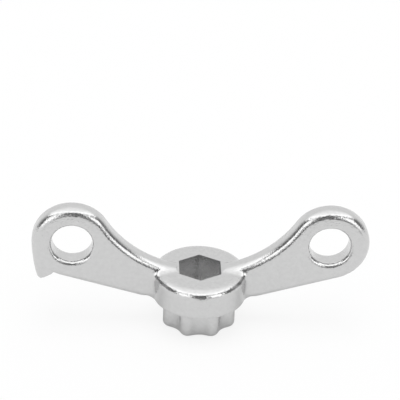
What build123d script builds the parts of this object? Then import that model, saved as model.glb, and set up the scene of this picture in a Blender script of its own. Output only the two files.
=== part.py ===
"""Crank arm cap tool: a two-armed cast key with a lobed plug below its hub.

Millimetres, +Z up. The origin is the centre of the plug's end face, where the tool stands.
+X runs along the two arms, away from the spur. +Y runs through the thickness of the arms.
"""

from build123d import *
import os
from math import cos, hypot, radians, sin, tan

# Lobed plug
plug_length = 6.75
plug_tip_radius = 8.75
lobe_count = 8
lobe_round = 1.8
lobe_depth = 1.2
plug_end_chamfer = 0.55

# Round hub with a hexagonal key hole
hub_radius = 10.65
hub_height = 7.05
hub_rim_inset = 1.9
hub_rim_fall = 1.8
hex_across_flats = 9.5
hex_turn = 30
hex_mouth_chamfer = 0.25
hex_mouth_flare = 45

# Arms, which form one flat plate with a round eye at each end
arm_thickness = 4.7
arm_edge_round = 1.7
arm_slope = 16.1
arm_lift = 0.1
arm_knee_round = 6.0
saddle_dip = 0.1
junction_round = 1.8
eye_spread = 58.0
eye_rise = 7.1
eye_radius = 9.05
eye_bore = 9.2
bore_edge_chamfer = 0.5

# Pick spur under the left eye
spur_drop = 8.8
spur_outer_radius = 38.0
spur_tip_width = 0.9
spur_tip_slant = 0.35
spur_root_angle = 30.0

# Levels and the middle of each eye
hub_bottom = plug_length
hub_top = hub_bottom + hub_height
rim_x = hub_radius - hub_rim_inset
rim_z = hub_top - hub_rim_fall
half_thickness = arm_thickness / 2
eye_x = eye_spread / 2
eye_z = hub_top + eye_rise

# Saddle: one arc across both arms that touches the two eye circles
saddle_low = hub_top - saddle_dip
eye_over_saddle = eye_z - saddle_low
saddle_radius = (eye_x**2 + eye_over_saddle**2 - eye_radius**2) / (2 * (eye_over_saddle + eye_radius))
saddle_z = saddle_low + saddle_radius
saddle_reach = saddle_radius / hypot(eye_x, eye_z - saddle_z)
touch_x = saddle_reach * eye_x
touch_z = saddle_z + saddle_reach * (eye_z - saddle_z)

# Underside: a sloping line that leaves each eye circle and a level run below the hub
slope = radians(arm_slope)
leave_x = eye_x + eye_radius * sin(slope)
leave_z = eye_z - eye_radius * cos(slope)
arm_bottom = hub_bottom + arm_lift
knee_x = leave_x - (leave_z - arm_bottom) / tan(slope)

# Spur: its outer side carries on from the eye, its inner side starts on the eye circle
eye_side_x = -eye_x - eye_radius
root_angle = radians(spur_root_angle)
root_x = -eye_x - eye_radius * sin(root_angle)
root_z = eye_z - eye_radius * cos(root_angle)


def spur_side(drop):
    """Point of the spur's outer side at a given drop below the middle of the eye."""
    inset = spur_outer_radius - (spur_outer_radius**2 - drop**2) ** 0.5
    return (eye_side_x + inset, eye_z - drop)


spur_tip = spur_side(spur_drop)
spur_heel = (spur_tip[0] + spur_tip_width, spur_tip[1] - spur_tip_slant)
blank_drop = spur_drop + spur_tip_slant + spur_tip_width
blank_end = spur_side(blank_drop)
blank_depth = (root_z - blank_end[1]) / cos(root_angle)
blank_corner = (root_x - blank_depth * sin(root_angle), blank_end[1])

# Plug outline: lobe arcs and valley arcs that meet smoothly
lobe_pitch = 360 / lobe_count
half_pitch = radians(lobe_pitch / 2)
lobe_centre = plug_tip_radius - lobe_round
valley_radius = plug_tip_radius - lobe_depth
across = lobe_centre * sin(half_pitch)
inward = lobe_centre * cos(half_pitch) - valley_radius
valley_round = (inward**2 + across**2 - lobe_round**2) / (2 * (lobe_round + inward))
valley_share = valley_round / (valley_round + lobe_round)
meet_across = across * valley_share
meet_out = (valley_radius + valley_round) + (inward - valley_round) * valley_share


def turned(out, side, angle):
    """Plan point at a distance out along a direction and a distance to its left."""
    a = radians(angle)
    return (out * cos(a) - side * sin(a), out * sin(a) + side * cos(a))


# The blend under the arms runs down a skirt below the hub, which is cut away afterwards
skirt_length = 2 * junction_round
skirt_bottom = hub_bottom - skirt_length

# Arms and eyes as one plate, with a blank for the spur
with BuildPart() as arms:
    with BuildSketch(Plane.XZ):
        with BuildLine():
            ThreePointArc((-touch_x, touch_z), (0, saddle_low), (touch_x, touch_z))
            ThreePointArc((touch_x, touch_z), (eye_x + eye_radius, eye_z), (leave_x, leave_z))
            FilletPolyline(
                (leave_x, leave_z),
                (knee_x, arm_bottom),
                (-knee_x, arm_bottom),
                (-leave_x, leave_z),
                radius=arm_knee_round,
            )
            RadiusArc((-leave_x, leave_z), (root_x, root_z), eye_radius)
            Polyline((root_x, root_z), blank_corner, blank_end)
            ThreePointArc(blank_end, spur_side(blank_drop / 2), (eye_side_x, eye_z))
            TangentArc((eye_side_x, eye_z), (-touch_x, touch_z), tangent=(0, 1))
        make_face()
    extrude(amount=half_thickness, both=True)
    outline_edges = arms.edges().filter_by(Axis.Y, reverse=True)
    blank_edges = outline_edges.filter_by(GeomType.LINE).sort_by(Axis.X)[:4]
    fillet((outline_edges - blank_edges).sort_by(Axis.X), arm_edge_round)

    # Spur, cut from its blank
    with BuildSketch(Plane.XZ):
        Polygon(
            (root_x, root_z),
            spur_heel,
            spur_tip,
            (eye_side_x, spur_tip[1]),
            (eye_side_x, blank_end[1]),
            blank_corner,
            align=None,
        )
    extrude(amount=half_thickness, both=True, mode=Mode.SUBTRACT)

    # Room for the key hole between the arms
    with BuildSketch(Plane.XY.offset(hub_bottom)):
        RegularPolygon(hex_across_flats / 2, 6, major_radius=False, rotation=hex_turn)
    extrude(amount=hub_height + eye_rise, mode=Mode.SUBTRACT)

# Hub with a soft rim, turned together with its skirt
with BuildPart() as hub:
    with BuildSketch(Plane.XZ):
        with BuildLine():
            EllipticalCenterArc((rim_x, rim_z), hub_rim_inset, hub_rim_fall, start_angle=0, arc_size=90)
            Polyline(
                (rim_x, hub_top),
                (0, hub_top),
                (0, skirt_bottom),
                (hub_radius, skirt_bottom),
                (hub_radius, rim_z),
            )
        make_face()
    revolve(axis=Axis.Z)
    with BuildSketch(Plane.XY.offset(skirt_bottom)):
        RegularPolygon(hex_across_flats / 2, 6, major_radius=False, rotation=hex_turn)
    extrude(amount=hub_top - skirt_bottom, mode=Mode.SUBTRACT)

# One casting
with BuildPart() as tool_body:
    # Arms blended into the hub, and the skirt cut away at the hub's underside
    add(hub.part)
    add(arms.part)
    fillet(tool_body.edges(Select.NEW), junction_round)
    split(bisect_by=Plane.XY.offset(hub_bottom), keep=Keep.TOP)

    # Lobed plug under the hub, with the key hole carried through it
    with BuildSketch():
        with BuildLine():
            for lobe in range(lobe_count):
                valley_before = lobe * lobe_pitch
                valley_after = valley_before + lobe_pitch
                lobe_start = turned(meet_out, meet_across, valley_before)
                lobe_end = turned(meet_out, -meet_across, valley_after)
                next_start = turned(meet_out, meet_across, valley_after)
                lobe_tip = turned(plug_tip_radius, 0, valley_before + lobe_pitch / 2)
                ThreePointArc(lobe_start, lobe_tip, lobe_end)
                ThreePointArc(lobe_end, turned(valley_radius, 0, valley_after), next_start)
        make_face()
        RegularPolygon(hex_across_flats / 2, 6, major_radius=False, rotation=hex_turn, mode=Mode.SUBTRACT)
    extrude(amount=plug_length)
    chamfer(tool_body.edges().group_by(Axis.Z)[0].filter_by(GeomType.CIRCLE), plug_end_chamfer)

    # Mouth of the key hole
    with BuildSketch(Plane.XY.offset(hub_top - hex_mouth_chamfer)):
        RegularPolygon(hex_across_flats / 2, 6, major_radius=False, rotation=hex_turn)
    extrude(amount=hub_rim_fall, taper=-hex_mouth_flare, mode=Mode.SUBTRACT)

    # Bores of the two eyes
    with BuildSketch(Plane.XZ):
        with Locations((-eye_x, eye_z), (eye_x, eye_z)):
            Circle(eye_bore / 2)
    extrude(amount=arm_thickness, both=True, mode=Mode.SUBTRACT)
    chamfer(tool_body.edges(Select.NEW), bore_edge_chamfer)

tool_body.part.label = "tool_body"
os.makedirs("parts", exist_ok=True)
export_step(tool_body.part, "parts/tool_body.step")
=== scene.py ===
"""Looks of the crank arm cap tool: one satin nickel casting on a pale floor.

Metres, in the part's own frame: +Z up, +X along the arms, the camera on the side of -Y.
The origin is the centre of the plug's end face, on which the tool stands.
"""

from math import cos, hypot, pi, radians

import bpy
from mathutils import Matrix, Vector


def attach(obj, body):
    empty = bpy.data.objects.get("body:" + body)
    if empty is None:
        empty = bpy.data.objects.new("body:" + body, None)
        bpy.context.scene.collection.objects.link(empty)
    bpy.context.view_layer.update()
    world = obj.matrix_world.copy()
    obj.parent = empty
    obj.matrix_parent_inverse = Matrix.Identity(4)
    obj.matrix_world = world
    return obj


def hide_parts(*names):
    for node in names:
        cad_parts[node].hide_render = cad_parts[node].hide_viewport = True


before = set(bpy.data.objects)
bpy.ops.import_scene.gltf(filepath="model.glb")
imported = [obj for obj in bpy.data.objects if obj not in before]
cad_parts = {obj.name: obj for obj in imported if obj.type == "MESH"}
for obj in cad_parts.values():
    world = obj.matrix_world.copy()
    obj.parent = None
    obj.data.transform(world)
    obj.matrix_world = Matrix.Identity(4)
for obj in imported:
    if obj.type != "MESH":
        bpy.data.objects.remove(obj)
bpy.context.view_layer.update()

MM = 0.001

# Camera, fitted to the photograph
IMAGE_SIDE = 400
SENSOR_MM = 36.0
FOCAL_PIXELS = 1670.0
AIM = Vector((0, 0, 13.45 * MM))
VIEW_AZIMUTH = radians(-3.228)
VIEW_ELEVATION = radians(32.689)
VIEW_ROLL = radians(2.312)
VIEW_PITCH = radians(2.358)
VIEW_DISTANCE = 380.2 * MM
CLIP_START = 10 * MM

# Sizes of the solid
EYE_X = 29.0 * MM
EYE_Z = 20.9 * MM
BORE_RADIUS = 4.6 * MM
HALF_THICKNESS = 2.35 * MM
HEX_FLATS = 9.5 * MM
HUB_TOP = 13.8 * MM

# Casting: an even skin over the solid, with softer edges at the bores' mouths and the plug's end
VOXEL = 0.21 * MM
SMOOTH_FACTOR = 0.5
SMOOTH_STEPS = 4
SOFT_STEPS = 72
SOFT_REACH = 1.3 * MM
CRISP_ANGLE = radians(40)

# Filling of the key hole under the skin, which reaches into the hole's walls
FILLING_OVERLAP = 1 * MM
FILLING_BOTTOM = 1 * MM

# Plating: faint clouds, which spread tone and roughness, and the grain of the casting
CLOUD_SCALE = 1500
CLOUD_DETAIL = 2
CLOUD_LOW = 0.3
CLOUD_HIGH = 0.7
TONE_RANGE = (0.60, 0.64)
ROUGHNESS_RANGE = (0.11, 0.19)
GRAIN_SCALE = 3200
GRAIN_DETAIL = 1
GRAIN_DEPTH = 0.045 * MM

# Floor, which shows in part as plain white, to the camera and in the metal, and else keeps the shadow
FLOOR_RADIUS = 4
FLOOR_CORNERS = 64
FLOOR_GREY = 0.62
WHITE_SEEN = 0.85
WHITE_REFLECTED = 0.2

# Room: levels by height, from 0 at the horizon to 1 overhead, in front and behind, blended along Y
ROOM_STRENGTH = 2.15
FRONT_LEVELS = ((0.0, 0.08), (0.57, 0.08), (0.62, 1.0), (0.72, 0.82), (0.90, 0.64), (1.0, 0.58))
REAR_LEVELS = ((0.0, 0.44), (0.55, 0.44), (0.85, 0.50), (1.0, 0.58))
FRONT_END = -0.3
REAR_START = 0.6

# Wide light overhead for the floor
TOP_LEVEL = 1.65
TOP_ANGLE = radians(40)

# Two soft boxes low in front, one on each side
BOX_AZIMUTH = radians(38)
BOX_ELEVATION = radians(14)
BOX_DISTANCE = 0.7
BOX_WIDTH = 0.44
BOX_HEIGHT = 0.36
BOX_LEVEL = 1.6

# Two dark cards on the floor in front, which paint shade of the floor into the metal's reflections: a
# wide one, and a narrow one between it and the hub
SHADE_CARD_GREY = 0.06
CARD_HEIGHT = 0.5 * MM
CARD_X = 20 * MM
CARD_START = -70 * MM
CARD_WIDTH = 0.14
CARD_DEPTH = 0.6
NEAR_X = 4 * MM
NEAR_START = -38 * MM
NEAR_WIDTH = 14 * MM


def grey(level):
    """Opaque grey."""
    return (level, level, level, 1)


def node(tree, kind, **settings):
    """New shader node with its properties set."""
    made = tree.nodes.new(kind)
    for name, value in settings.items():
        setattr(made, name, value)
    return made


def noise(tree, scale, detail):
    """Noise in the piece's own coordinates."""
    place = node(tree, "ShaderNodeTexCoord")
    made = node(tree, "ShaderNodeTexNoise")
    made.inputs["Scale"].default_value = scale
    made.inputs["Detail"].default_value = detail
    tree.links.new(place.outputs["Object"], made.inputs["Vector"])
    return made


def plated_casting():
    """Satin nickel over a lightly sanded casting."""
    material = bpy.data.materials.new("plated_casting")
    material.use_nodes = True
    tree = material.node_tree
    shader = tree.nodes["Principled BSDF"]
    shader.inputs["Metallic"].default_value = 1
    # faint clouds in the plating
    cloud = noise(tree, CLOUD_SCALE, CLOUD_DETAIL)
    for socket, (low, high) in (("Base Color", TONE_RANGE), ("Roughness", ROUGHNESS_RANGE)):
        spread = node(tree, "ShaderNodeMapRange")
        spread.inputs["From Min"].default_value = CLOUD_LOW
        spread.inputs["From Max"].default_value = CLOUD_HIGH
        spread.inputs["To Min"].default_value = low
        spread.inputs["To Max"].default_value = high
        tree.links.new(cloud.outputs["Fac"], spread.inputs["Value"])
        tree.links.new(spread.outputs["Result"], shader.inputs[socket])
    # grain of the casting
    grain = noise(tree, GRAIN_SCALE, GRAIN_DETAIL)
    bump = node(tree, "ShaderNodeBump")
    bump.inputs["Strength"].default_value = 1
    bump.inputs["Distance"].default_value = GRAIN_DEPTH
    tree.links.new(grain.outputs["Fac"], bump.inputs["Height"])
    tree.links.new(bump.outputs["Normal"], shader.inputs["Normal"])
    return material


def apply_modifiers(piece):
    """Turn the piece's modifiers into its mesh."""
    graph = bpy.context.evaluated_depsgraph_get()
    final = bpy.data.meshes.new_from_object(piece.evaluated_get(graph))
    piece.modifiers.clear()
    piece.data = final


def soft_weight(point):
    """How much more a point of the skin is softened than the rest, from 0 to 1."""
    from_eye = hypot(abs(point.x) - EYE_X, point.z - EYE_Z)
    from_mouth = hypot(from_eye - BORE_RADIUS, abs(point.y) - HALF_THICKNESS)
    return max(0, 1 - min(from_mouth, point.z) / SOFT_REACH)


def hex_prism(flats, bottom, top):
    """Upright hexagonal prism about the hub axis, corners in line with Y."""
    sides = 6
    bpy.ops.mesh.primitive_cylinder_add(
        vertices=sides,
        radius=flats / 2 / cos(pi / sides),
        depth=top - bottom,
        location=(0, 0, (top + bottom) / 2),
    )
    bpy.ops.object.transform_apply()
    return bpy.context.object


def skin():
    """Even skin over the solid, with the key hole filled."""
    piece = hex_prism(HEX_FLATS + 2 * FILLING_OVERLAP, FILLING_BOTTOM, HUB_TOP)
    piece.name = "casting"
    solid = bpy.data.objects.new("solid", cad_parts["tool_body"].data.copy())
    bpy.context.scene.collection.objects.link(solid)
    solid.select_set(True)
    bpy.ops.object.join()
    remesh = piece.modifiers.new("Even skin", "REMESH")
    remesh.mode = "VOXEL"
    remesh.voxel_size = VOXEL
    remesh.use_smooth_shade = True
    apply_modifiers(piece)
    return piece


def casting():
    """The tool body with its edges softened as in a casting and a crisp key hole."""
    piece = skin()
    softer = piece.vertex_groups.new(name="softer")
    for vertex in piece.data.vertices:
        weight = soft_weight(vertex.co)
        if weight:
            softer.add((vertex.index,), weight, "REPLACE")
    for name, steps, group in (
        ("Soft edges", SMOOTH_STEPS, ""),
        ("Softer edges", SOFT_STEPS, softer.name),
    ):
        soften = piece.modifiers.new(name, "SMOOTH")
        soften.factor = SMOOTH_FACTOR
        soften.iterations = steps
        soften.vertex_group = group
    # the cutter reaches well past both ends of the hole
    key_hole = hex_prism(HEX_FLATS, -HUB_TOP, 2 * HUB_TOP)
    cut = piece.modifiers.new("Crisp key hole", "BOOLEAN")
    cut.operation = "DIFFERENCE"
    cut.solver = "MANIFOLD"
    cut.object = key_hole
    apply_modifiers(piece)
    bpy.data.objects.remove(key_hole)
    piece.data.set_sharp_from_angle(angle=CRISP_ANGLE)
    piece.data.materials.clear()
    piece.data.materials.append(plated_casting())
    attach(piece, "root")
    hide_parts("tool_body")


def pale_floor():
    """White floor that keeps a soft shadow."""
    material = bpy.data.materials.new("pale_floor")
    material.use_nodes = True
    tree = material.node_tree
    tree.nodes.clear()
    diffuse = node(tree, "ShaderNodeBsdfDiffuse")
    diffuse.inputs["Color"].default_value = grey(FLOOR_GREY)
    white = node(tree, "ShaderNodeEmission")
    white.inputs["Strength"].default_value = 1
    # share of plain white, by whether a ray comes from the camera or from the metal
    path = node(tree, "ShaderNodeLightPath")
    seen = node(tree, "ShaderNodeMath", operation="ADD")
    seen_share = node(tree, "ShaderNodeMath", operation="MULTIPLY")
    seen_share.inputs[1].default_value = WHITE_SEEN
    share = node(tree, "ShaderNodeMath", operation="MULTIPLY_ADD", use_clamp=True)
    share.inputs[1].default_value = WHITE_REFLECTED
    tree.links.new(path.outputs["Is Camera Ray"], seen.inputs[0])
    tree.links.new(path.outputs["Is Transmission Ray"], seen.inputs[1])
    tree.links.new(seen.outputs[0], seen_share.inputs[0])
    tree.links.new(path.outputs["Is Glossy Ray"], share.inputs[0])
    tree.links.new(seen_share.outputs[0], share.inputs[2])
    mix = node(tree, "ShaderNodeMixShader")
    out = node(tree, "ShaderNodeOutputMaterial")
    tree.links.new(share.outputs[0], mix.inputs[0])
    tree.links.new(diffuse.outputs[0], mix.inputs[1])
    tree.links.new(white.outputs[0], mix.inputs[2])
    tree.links.new(mix.outputs[0], out.inputs["Surface"])
    return material


def floor():
    """Wide round floor under the tool."""
    bpy.ops.mesh.primitive_circle_add(vertices=FLOOR_CORNERS, radius=FLOOR_RADIUS, fill_type="NGON")
    piece = bpy.context.object
    piece.name = "floor"
    piece.data.materials.append(pale_floor())


def level_ramp(tree, levels):
    """Ramp through pairs of place and grey level."""
    ramp = node(tree, "ShaderNodeValToRGB")
    marks = ramp.color_ramp.elements
    while len(marks) < len(levels):
        marks.new(1)
    for mark, (place, level) in zip(marks, levels):
        mark.position = place
        mark.color = grey(level)
    return ramp


def studio():
    """Room around the tool: bright high in front, dim low in front, and pale behind."""
    world = bpy.data.worlds.new("studio")
    bpy.context.scene.world = world
    world.use_nodes = True
    tree = world.node_tree
    back = tree.nodes["Background"]
    place = node(tree, "ShaderNodeTexCoord")
    split = node(tree, "ShaderNodeSeparateXYZ")
    tree.links.new(place.outputs["Generated"], split.inputs[0])
    # height above the horizon drives a ramp for the front and one for the back
    front = level_ramp(tree, FRONT_LEVELS)
    rear = level_ramp(tree, REAR_LEVELS)
    for ramp in (front, rear):
        tree.links.new(split.outputs["Z"], ramp.inputs["Fac"])
    facing = node(tree, "ShaderNodeMapRange", interpolation_type="SMOOTHSTEP")
    facing.inputs["From Min"].default_value = FRONT_END
    facing.inputs["From Max"].default_value = REAR_START
    tree.links.new(split.outputs["Y"], facing.inputs["Value"])
    mix = node(tree, "ShaderNodeMix", data_type="RGBA")
    tree.links.new(facing.outputs["Result"], mix.inputs["Factor"])
    tree.links.new(front.outputs["Color"], mix.inputs["A"])
    tree.links.new(rear.outputs["Color"], mix.inputs["B"])
    tree.links.new(mix.outputs["Result"], back.inputs["Color"])
    back.inputs["Strength"].default_value = ROOM_STRENGTH


def turned_towards(azimuth, elevation):
    """Turn of something that looks at the tool from a direction."""
    return Matrix.Rotation(azimuth, 4, "Z") @ Matrix.Rotation(radians(90) - elevation, 4, "X")


def soft_box(name, azimuth):
    """Low soft box in front that looks at the tool and shows in the metal alone."""
    data = bpy.data.lights.new(name, "AREA")
    data.shape = "RECTANGLE"
    data.size = BOX_WIDTH
    data.size_y = BOX_HEIGHT
    # the power that gives the box its level, whatever its size
    data.energy = BOX_LEVEL * pi * BOX_WIDTH * BOX_HEIGHT
    item = bpy.data.objects.new(name, data)
    turn = turned_towards(azimuth, BOX_ELEVATION)
    item.matrix_world = Matrix.Translation(AIM + turn @ Vector((0, 0, BOX_DISTANCE))) @ turn
    item.visible_camera = False
    item.visible_diffuse = False
    bpy.context.scene.collection.objects.link(item)


def top_light():
    """Wide light straight overhead that falls on the floor around the tool."""
    data = bpy.data.lights.new("top light", "SUN")
    data.energy = TOP_LEVEL
    data.angle = TOP_ANGLE
    item = bpy.data.objects.new("top light", data)
    item.visible_camera = False
    item.visible_glossy = False
    bpy.context.scene.collection.objects.link(item)


def shade_card(name, x, start, width, depth):
    """Dark card on the floor, from a start towards the camera, which shows in the metal alone as
    painted shade of the floor in front.
    """
    bpy.ops.mesh.primitive_plane_add(size=1, location=(x, start - depth / 2, CARD_HEIGHT))
    piece = bpy.context.object
    piece.name = name
    piece.scale = (width, depth, 1)
    material = bpy.data.materials.new(name)
    material.use_nodes = True
    shader = material.node_tree.nodes["Principled BSDF"]
    # painted shade: a near-black grey that the metal reflects in place of a shaded floor
    shader.inputs["Base Color"].default_value = grey(SHADE_CARD_GREY)
    shader.inputs["Roughness"].default_value = 1
    piece.data.materials.append(material)
    piece.visible_camera = False
    piece.visible_diffuse = False
    piece.visible_shadow = False


def camera():
    """Camera that stands where the photograph's stood."""
    data = bpy.data.cameras.new("camera")
    data.sensor_width = SENSOR_MM
    data.lens = FOCAL_PIXELS * SENSOR_MM / IMAGE_SIDE
    data.clip_start = CLIP_START
    item = bpy.data.objects.new("camera", data)
    turn = turned_towards(VIEW_AZIMUTH, VIEW_ELEVATION)
    away = turn @ Vector((0, 0, VIEW_DISTANCE))
    hold = turn @ Matrix.Rotation(VIEW_ROLL, 4, "Z") @ Matrix.Rotation(VIEW_PITCH, 4, "X")
    item.matrix_world = Matrix.Translation(AIM + away) @ hold
    bpy.context.scene.collection.objects.link(item)
    bpy.context.scene.camera = item


casting()
floor()
studio()
top_light()
soft_box("left soft box", -BOX_AZIMUTH)
soft_box("right soft box", BOX_AZIMUTH)
shade_card("shade_card", CARD_X, CARD_START, CARD_WIDTH, CARD_DEPTH)
shade_card("near_shade_card", NEAR_X, NEAR_START, NEAR_WIDTH, NEAR_START - CARD_START)
camera()
bpy.context.scene.view_settings.view_transform = "Standard"
